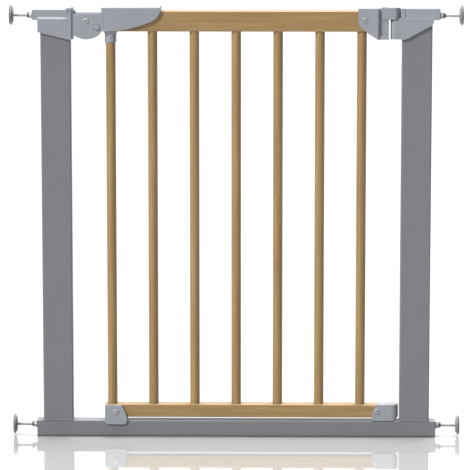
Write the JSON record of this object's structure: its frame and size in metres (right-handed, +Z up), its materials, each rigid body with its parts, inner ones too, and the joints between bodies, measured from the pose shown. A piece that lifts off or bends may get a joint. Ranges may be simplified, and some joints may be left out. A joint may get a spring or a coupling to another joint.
{
  "type": "pressure-fitted safety gate",
  "caption": "Pressure-fitted safety gate: steel frame with screw-out wall pads and a hinged beech panel that lifts and latches by a top handle.",
  "frame": {"origin": "on the floor under the middle of the bottom rail, midway between the wall pads and in the frame's mid-plane", "axes": "+X from the latch side to the hinge side, +Y to the rear, +Z up"},
  "size_m": [0.7468, 0.0334, 0.7235],
  "materials": {
    "painted_steel": "smooth satin powder coat",
    "cast_grey": "satin grey coating on castings",
    "dark_keeper": "satin dark grey",
    "beech": "clear satin lacquer on beech",
    "zinc_steel": "bright zinc plate",
    "spring_steel": "drawn wire",
    "black_plastic": "fine matte",
    "nut_grey": "fine matte",
    "pad_grey": "fine matte",
    "pad_rubber": "soft matte rubber"
  },
  "bodies": {
    "frame": {"bottom_rail": "painted_steel", "left_post": "painted_steel", "right_post": "painted_steel", "left_rail_plug": "black_plastic", "right_rail_plug": "black_plastic", "spindle_bushes": "black_plastic", "latch_receiver": "cast_grey", "keeper_plate": "dark_keeper", "keeper_screws": "zinc_steel", "casting_screws": "zinc_steel", "hinge_bracket": "cast_grey", "upper_hinge_pin": "zinc_steel", "lower_hinge_pin": "zinc_steel"},
    "washers": {"hinge_washers": "black_plastic"},
    "panel": {"top_rail": "beech", "bottom_wood_rail": "beech", "dowel_1": "beech", "dowel_2": "beech", "dowel_3": "beech", "dowel_4": "beech", "dowel_5": "beech", "dowel_6": "beech", "dowel_7": "beech", "latch_head_front": "cast_grey", "latch_head_rear": "cast_grey", "latch_head_screws": "zinc_steel", "handle_pivot_pin": "zinc_steel", "handle_spring": "spring_steel", "dowel_ferrule": "cast_grey", "button_spring": "spring_steel", "hinge_end_cap": "cast_grey", "hinge_knuckle": "cast_grey", "knuckle_screw": "zinc_steel", "hinge_foot": "cast_grey", "lower_catch": "cast_grey", "panel_bolts": "zinc_steel"},
    "handle": {"release_handle": "cast_grey"},
    "bolt": {"latch_bolt": "zinc_steel"},
    "button": {"thumb_button": "cast_grey"},
    "upper_left_nut": {"upper_left_nut": "nut_grey"},
    "upper_left_spindle": {"upper_left_spindle": "zinc_steel", "upper_left_pad_cup": "pad_grey", "upper_left_wall_pad": "pad_rubber"},
    "upper_right_nut": {"upper_right_nut": "nut_grey"},
    "upper_right_spindle": {"upper_right_spindle": "zinc_steel", "upper_right_pad_cup": "pad_grey", "upper_right_wall_pad": "pad_rubber"},
    "lower_left_nut": {"lower_left_nut": "nut_grey"},
    "lower_left_spindle": {"lower_left_spindle": "zinc_steel", "lower_left_pad_cup": "pad_grey", "lower_left_wall_pad": "pad_rubber"},
    "lower_right_nut": {"lower_right_nut": "nut_grey"},
    "lower_right_spindle": {"lower_right_spindle": "zinc_steel", "lower_right_pad_cup": "pad_grey", "lower_right_wall_pad": "pad_rubber"}
  },
  "joints": [
    {"name": "panel_swing", "type": "hinge", "parent": "frame", "child": "washers", "pos_m": [0.259, 0, 0], "axis": [0, 0, 1], "range_deg": [-90, 90]},
    {"name": "panel_lift", "type": "slide", "parent": "washers", "child": "panel", "axis": [0, 0, 1], "range_m": [0, 0.01]},
    {"name": "handle_pivot", "type": "hinge", "parent": "panel", "child": "handle", "pos_m": [-0.2467, 0, 0.6982], "axis": [0, -1, 0], "range_deg": [0, 33], "stiffness_Nm_per_rad": 0.15, "springref_deg": -22.92},
    {"name": "latch_bolt_slide", "type": "slide", "parent": "panel", "child": "bolt", "axis": [1, 0, 0], "range_m": [0, 0.009]},
    {"name": "thumb_button_press", "type": "slide", "parent": "panel", "child": "button", "axis": [0, 1, 0], "range_m": [0, 0.002], "stiffness_N_per_m": 300, "springref_m": -0.003, "deforming": ["button_spring"]},
    {"name": "upper_left_spindle_travel", "type": "slide", "parent": "frame", "child": "upper_left_spindle", "axis": [-1, 0, 0], "range_m": [-0.016, 0.017]},
    {"name": "upper_left_nut_turn", "type": "hinge", "parent": "frame", "child": "upper_left_nut", "pos_m": [-0.34, 0, 0.7068], "axis": [-1, 0, 0], "range_deg": [-6156, 5796]},
    {"name": "upper_right_spindle_travel", "type": "slide", "parent": "frame", "child": "upper_right_spindle", "axis": [1, 0, 0], "range_m": [-0.016, 0.017]},
    {"name": "upper_right_nut_turn", "type": "hinge", "parent": "frame", "child": "upper_right_nut", "pos_m": [0.34, 0, 0.7068], "axis": [1, 0, 0], "range_deg": [-6156, 5796]},
    {"name": "lower_left_spindle_travel", "type": "slide", "parent": "frame", "child": "lower_left_spindle", "axis": [-1, 0, 0], "range_m": [-0.016, 0.017]},
    {"name": "lower_left_nut_turn", "type": "hinge", "parent": "frame", "child": "lower_left_nut", "pos_m": [-0.34, 0, 0.0185], "axis": [-1, 0, 0], "range_deg": [-6156, 5796]},
    {"name": "lower_right_spindle_travel", "type": "slide", "parent": "frame", "child": "lower_right_spindle", "axis": [1, 0, 0], "range_m": [-0.016, 0.017]},
    {"name": "lower_right_nut_turn", "type": "hinge", "parent": "frame", "child": "lower_right_nut", "pos_m": [0.34, 0, 0.0185], "axis": [1, 0, 0], "range_deg": [-6156, 5796]}
  ],
  "couplings": [
    {"joint": "latch_bolt_slide", "follows": "handle_pivot", "m_per_rad": 0.0153},
    {"joint": "upper_left_nut_turn", "follows": "upper_left_spindle_travel", "rad_per_m": -6283.2},
    {"joint": "upper_right_nut_turn", "follows": "upper_right_spindle_travel", "rad_per_m": -6283.2},
    {"joint": "lower_left_nut_turn", "follows": "lower_left_spindle_travel", "rad_per_m": -6283.2},
    {"joint": "lower_right_nut_turn", "follows": "lower_right_spindle_travel", "rad_per_m": -6283.2}
  ]
}
